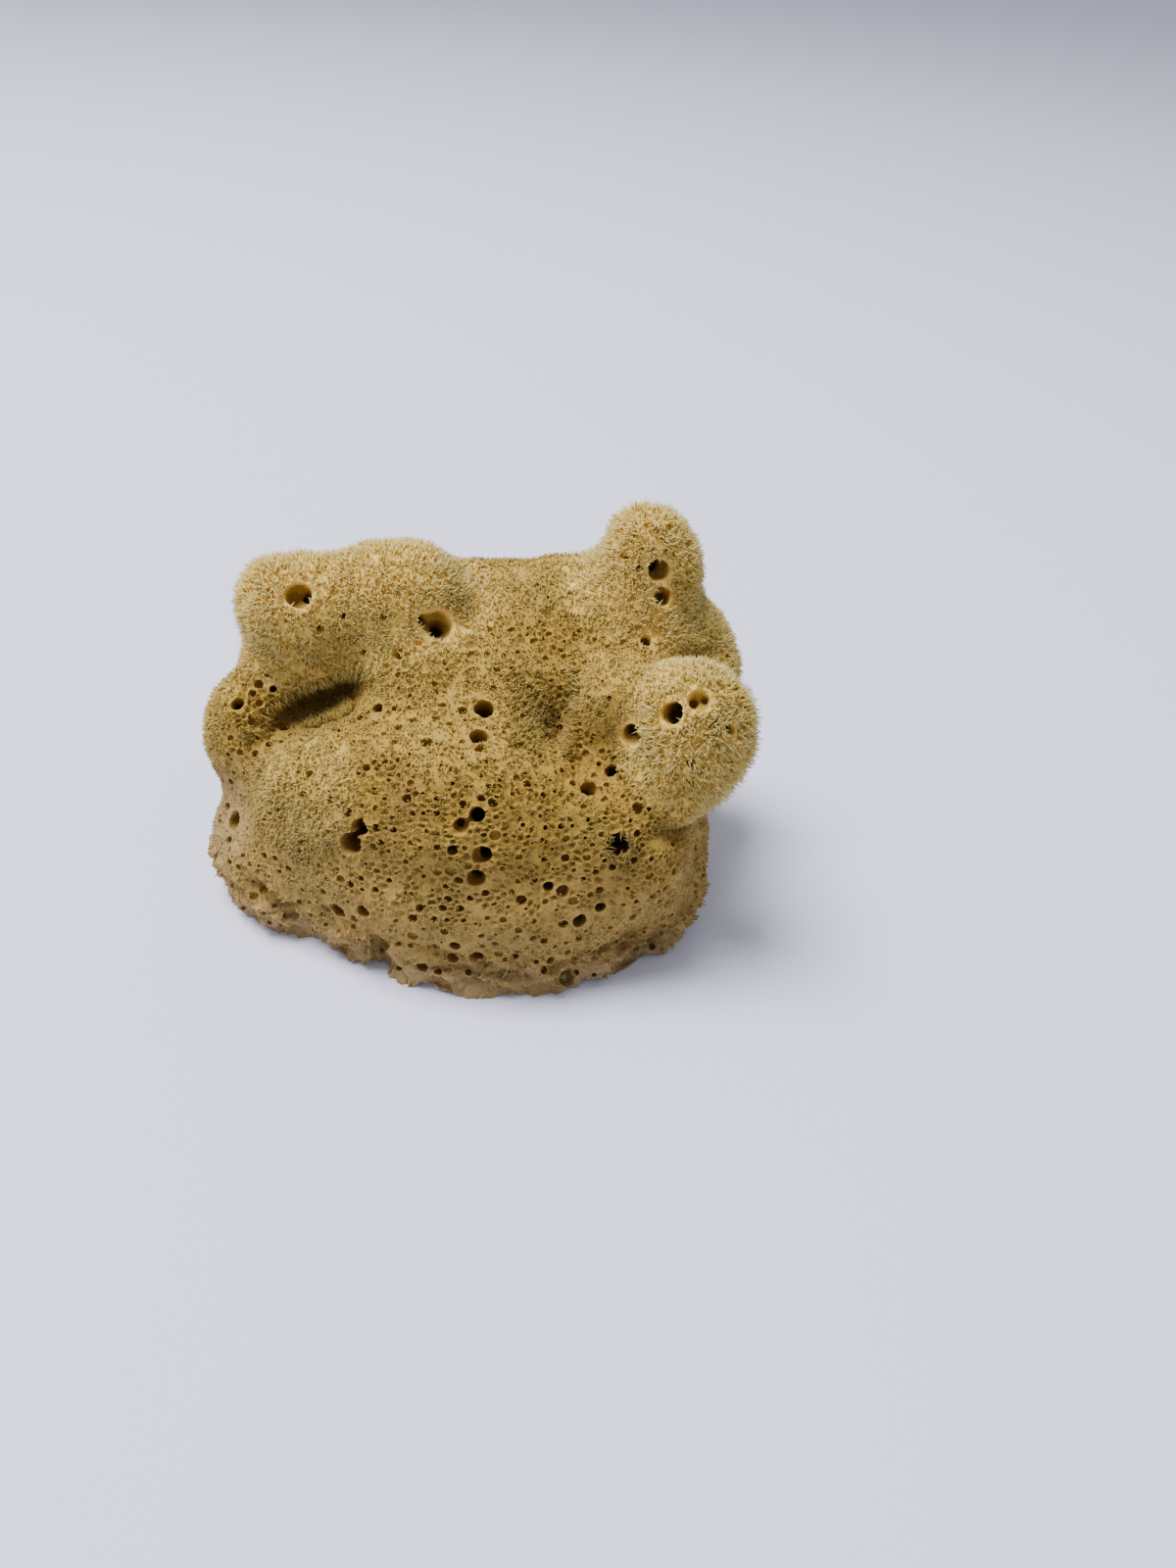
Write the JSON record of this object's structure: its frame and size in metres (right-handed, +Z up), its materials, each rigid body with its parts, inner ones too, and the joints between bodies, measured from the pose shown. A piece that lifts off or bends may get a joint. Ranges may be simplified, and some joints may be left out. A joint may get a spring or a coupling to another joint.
{
  "type": "natural sea sponge",
  "caption": "Dried natural sea sponge, a lobed tan mass with round mouths, fine pores and a tufted skin, cut flat at its base to rest on it.",
  "frame": {"origin": "middle of the sponge's outline, on the flat cut of its base", "axes": "+Z up from the cut base, +X to the right of the seen side along the sponge's length, +Y away from the seen side"},
  "size_m": [0.1512, 0.1148, 0.1096],
  "materials": {
    "sponge": "dried spongin fibre, tan, dull, porous and tufted"
  },
  "bodies": {
    "root": {"sponge": "sponge"}
  },
  "joints": []
}
